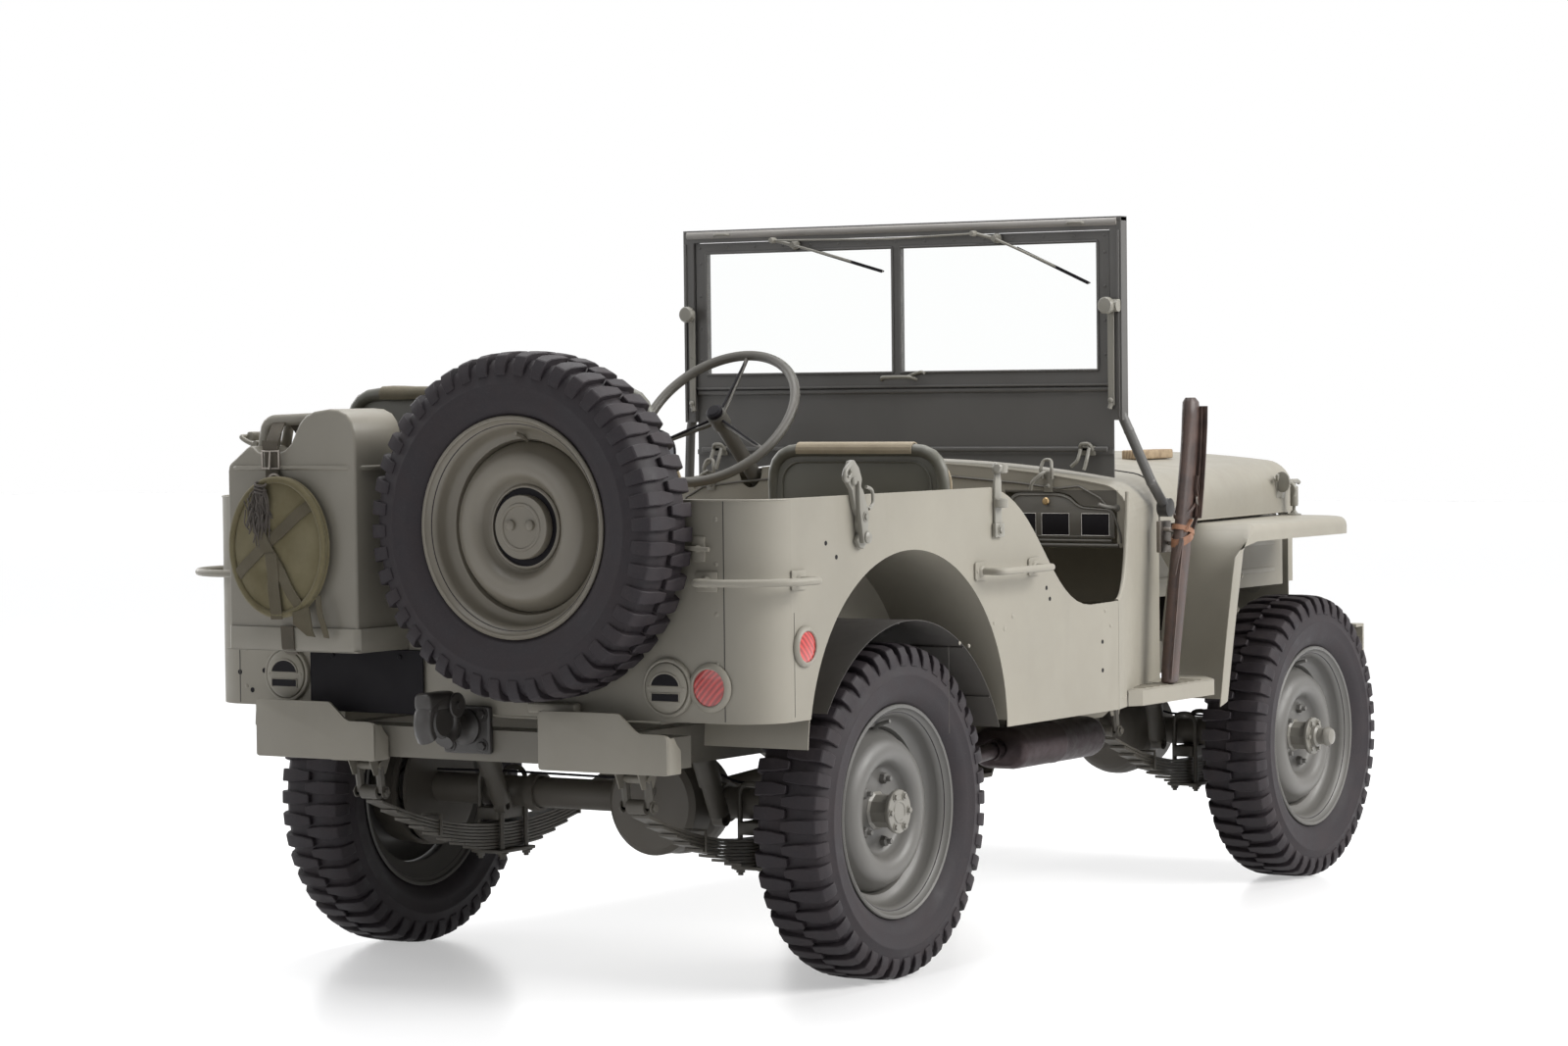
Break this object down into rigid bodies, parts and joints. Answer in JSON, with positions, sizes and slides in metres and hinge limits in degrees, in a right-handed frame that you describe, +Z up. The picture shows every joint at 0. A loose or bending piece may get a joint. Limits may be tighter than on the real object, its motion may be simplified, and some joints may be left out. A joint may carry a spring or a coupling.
{
  "type": "army 4x4 car",
  "caption": "Open four-seat military light utility car with four driven wheels, folding windshield, rear spare wheel and fuel can",
  "frame": {"origin": "on the ground, under the middle of the car's bounding box", "axes": "+X forward, +Y to the car's left, +Z up"},
  "size_m": [3.43, 1.5734, 1.643],
  "materials": {
    "body_paint": "matte",
    "cabin_paint": "matte",
    "rim_paint": "satin",
    "spare_rim_paint": "satin",
    "chassis_metal": "matte",
    "exhaust_steel": "matte",
    "tyre": "matte",
    "canvas": "matte",
    "leather": "satin",
    "glass": "polished",
    "lamp_chrome": "polished",
    "reflector_red": "glossy",
    "black_plate": "satin"
  },
  "bodies": {
    "chassis": {"frame_rails": "body_paint", "front_bumper": "body_paint", "bumperettes": "body_paint", "tow_hook": "chassis_metal", "body_tub": "body_paint", "cowl": "body_paint", "front_fenders": "body_paint", "grille": "body_paint", "headlamps": "lamp_chrome", "engine_block": "chassis_metal", "steering_column": "cabin_paint", "driver_seat": "cabin_paint", "rear_bench": "cabin_paint", "seat_cushions": "canvas", "jerrycan": "body_paint", "canvas_bucket": "canvas", "rear_carriers": "body_paint", "spare_tyre": "tyre", "spare_rim": "spare_rim_paint", "rear_lamps": "reflector_red", "number_plate": "black_plate", "grab_handles": "body_paint", "bow_brackets": "body_paint", "scabbard": "leather", "side_mirror": "black_plate", "front_axle": "chassis_metal", "rear_axle": "chassis_metal", "springs": "chassis_metal", "drivetrain": "chassis_metal", "exhaust": "exhaust_steel", "fuel_tank": "body_paint"},
    "wheel_front_left": {"tyre_front_left": "tyre", "rim_front_left": "rim_paint"},
    "wheel_front_right": {"tyre_front_right": "tyre", "rim_front_right": "rim_paint"},
    "wheel_rear_left": {"tyre_rear_left": "tyre", "rim_rear_left": "rim_paint"},
    "wheel_rear_right": {"tyre_rear_right": "tyre", "rim_rear_right": "rim_paint"},
    "knuckle_left": {"knuckle_left": "chassis_metal"},
    "knuckle_right": {"knuckle_right": "chassis_metal"},
    "tie_rod": {"tie_rod": "chassis_metal"},
    "steering_wheel": {"steering_wheel": "cabin_paint"},
    "hood": {"hood": "body_paint"},
    "windshield": {"windshield_frame": "body_paint", "windshield_glass": "glass"},
    "glovebox_lid": {"glovebox_lid": "body_paint"},
    "passenger_seat": {"passenger_seat": "cabin_paint", "passenger_pad": "canvas"},
    "rear_seat_back": {"rear_seat_back": "cabin_paint", "rear_back_pad": "canvas"},
    "toolbox_lid_left": {"toolbox_lid_left": "body_paint"},
    "toolbox_lid_right": {"toolbox_lid_right": "body_paint"}
  },
  "joints": [
    {"name": "spin_front_left", "type": "hinge", "parent": "knuckle_left", "child": "wheel_front_left", "pos_m": [1.107, 0.623, 0.356], "axis": [0, 1, 0], "continuous": true},
    {"name": "spin_front_right", "type": "hinge", "parent": "knuckle_right", "child": "wheel_front_right", "pos_m": [1.107, -0.623, 0.356], "axis": [0, 1, 0], "continuous": true},
    {"name": "spin_rear_left", "type": "hinge", "parent": "chassis", "child": "wheel_rear_left", "pos_m": [-0.925, 0.623, 0.356], "axis": [0, 1, 0], "continuous": true},
    {"name": "spin_rear_right", "type": "hinge", "parent": "chassis", "child": "wheel_rear_right", "pos_m": [-0.925, -0.623, 0.356], "axis": [0, 1, 0], "continuous": true},
    {"name": "steer_left", "type": "hinge", "parent": "chassis", "child": "knuckle_left", "pos_m": [1.107, 0.505, 0.356], "axis": [0, 0, 1], "range_deg": [-25, 25]},
    {"name": "steer_right", "type": "hinge", "parent": "chassis", "child": "knuckle_right", "pos_m": [1.107, -0.505, 0.356], "axis": [0, 0, 1], "range_deg": [-25, 25]},
    {"name": "tie_rod_pivot", "type": "hinge", "parent": "knuckle_left", "child": "tie_rod", "pos_m": [1.267, 0.49, 0.366], "axis": [0, 0, 1], "range_deg": [-25, 25]},
    {"name": "steering_wheel_turn", "type": "hinge", "parent": "chassis", "child": "steering_wheel", "pos_m": [-0.015, 0.36, 1.177], "axis": [-0.7431, 0, 0.6691], "range_deg": [-351, 351]},
    {"name": "hood_open", "type": "hinge", "parent": "chassis", "child": "hood", "pos_m": [0.461, 0, 1.08], "axis": [0, 1, 0], "range_deg": [-104, 0]},
    {"name": "windshield_fold", "type": "hinge", "parent": "chassis", "child": "windshield", "pos_m": [0.387, 0, 0.955], "axis": [0, 1, 0], "range_deg": [0, 90]},
    {"name": "glovebox_open", "type": "hinge", "parent": "chassis", "child": "glovebox_lid", "pos_m": [0.124, -0.506, 0.885], "axis": [0, 1, 0], "range_deg": [-90, 0]},
    {"name": "passenger_seat_tip", "type": "hinge", "parent": "chassis", "child": "passenger_seat", "pos_m": [-0.1, -0.36, 0.5395], "axis": [0, 1, 0], "range_deg": [0, 45]},
    {"name": "rear_seat_fold", "type": "hinge", "parent": "chassis", "child": "rear_seat_back", "pos_m": [-1.395, 0, 0.95], "axis": [0, 1, 0], "range_deg": [0, 80]},
    {"name": "toolbox_lid_left_open", "type": "hinge", "parent": "chassis", "child": "toolbox_lid_left", "pos_m": [-1.3475, 0.6462, 0.9205], "axis": [-1, 0, 0], "range_deg": [0, 95]},
    {"name": "toolbox_lid_right_open", "type": "hinge", "parent": "chassis", "child": "toolbox_lid_right", "pos_m": [-1.3475, -0.6462, 0.9205], "axis": [1, 0, 0], "range_deg": [0, 95]}
  ],
  "couplings": [
    {"joint": "steer_right", "follows": "steer_left", "ratio": 1},
    {"joint": "tie_rod_pivot", "follows": "steer_left", "ratio": -1},
    {"joint": "steering_wheel_turn", "follows": "steer_left", "ratio": 14}
  ]
}
